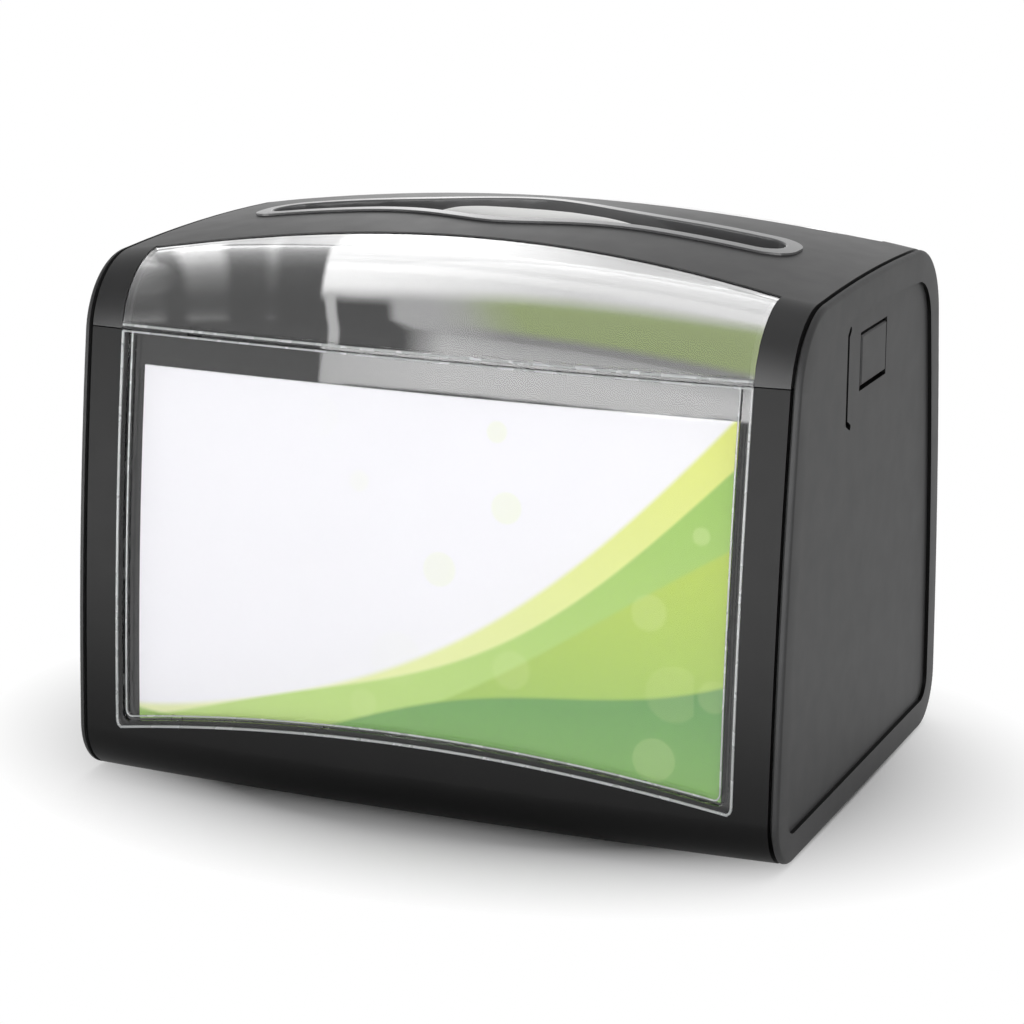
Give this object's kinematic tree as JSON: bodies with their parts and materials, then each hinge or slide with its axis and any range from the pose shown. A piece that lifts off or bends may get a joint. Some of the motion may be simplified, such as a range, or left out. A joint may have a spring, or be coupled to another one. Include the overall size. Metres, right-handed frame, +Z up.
{
  "type": "tabletop napkin dispenser",
  "caption": "Free-standing box that feeds folded paper napkins up to a slot in its crowned, lift-off top; clear windows hold display cards.",
  "frame": {"origin": "on the table under the middle of the box", "axes": "+X to the right along the width, -Y to the front window, +Z up"},
  "size_m": [0.201, 0.1504, 0.1535],
  "materials": {
    "housing_black": "fine moulded texture, satin",
    "panel_grey": "fine moulded texture, matte",
    "cover_grey": "fine moulded texture, satin",
    "bezel_gloss": "polished",
    "clear_plastic": "clear, polished",
    "inner_black": "smooth",
    "printed_card": null,
    "napkin_paper": "embossed tissue",
    "spring_steel": "drawn wire",
    "screw_steel": "zinc plated",
    "foot_rubber": "soft, matte"
  },
  "bodies": {
    "housing": {"base_tray": "housing_black", "front_fascia": "housing_black", "rear_fascia": "housing_black", "left_side_panel": "panel_grey", "right_side_panel": "panel_grey", "front_window": "clear_plastic", "rear_window": "clear_plastic", "front_card": "printed_card", "rear_card": "printed_card", "front_card_backing": "inner_black", "rear_card_backing": "inner_black", "magazine_front_wall": "inner_black", "magazine_rear_wall": "inner_black", "magazine_left_wall": "inner_black", "magazine_right_wall": "inner_black", "left_feed_spring": "spring_steel", "right_feed_spring": "spring_steel", "base_screws": "screw_steel", "rubber_feet": "foot_rubber"},
    "pusher": {"pusher_plate": "inner_black", "napkin_stack": "napkin_paper", "leading_napkin": "napkin_paper"},
    "cover": {"top_cover": "cover_grey", "front_top_lens": "clear_plastic", "rear_top_lens": "clear_plastic", "slot_bezel": "bezel_gloss", "front_lens_backing": "inner_black", "rear_lens_backing": "inner_black", "left_latch_bracket": "inner_black", "right_latch_bracket": "inner_black", "left_latch_leg": "inner_black", "right_latch_leg": "inner_black", "cover_screws": "screw_steel"},
    "left_button": {"left_release_button": "panel_grey"},
    "right_button": {"right_release_button": "panel_grey"}
  },
  "joints": [
    {"name": "cover_lift", "type": "slide", "parent": "housing", "child": "cover", "axis": [0, 0, 1], "range_m": [0, 0.06]},
    {"name": "pusher_slide", "type": "slide", "parent": "housing", "child": "pusher", "axis": [0, 0, 1], "range_m": [-0.045, 0], "stiffness_N_per_m": 200, "springref_m": 0.12, "deforming": ["left_feed_spring", "right_feed_spring"]},
    {"name": "left_button_press", "type": "hinge", "parent": "housing", "child": "left_button", "pos_m": [-0.098, 0.0138, 0.1213], "axis": [0, 0, 1], "range_deg": [0, 8], "stiffness_Nm_per_rad": 0.5},
    {"name": "right_button_press", "type": "hinge", "parent": "housing", "child": "right_button", "pos_m": [0.098, 0.0138, 0.1213], "axis": [0, 0, -1], "range_deg": [0, 8], "stiffness_Nm_per_rad": 0.5}
  ]
}
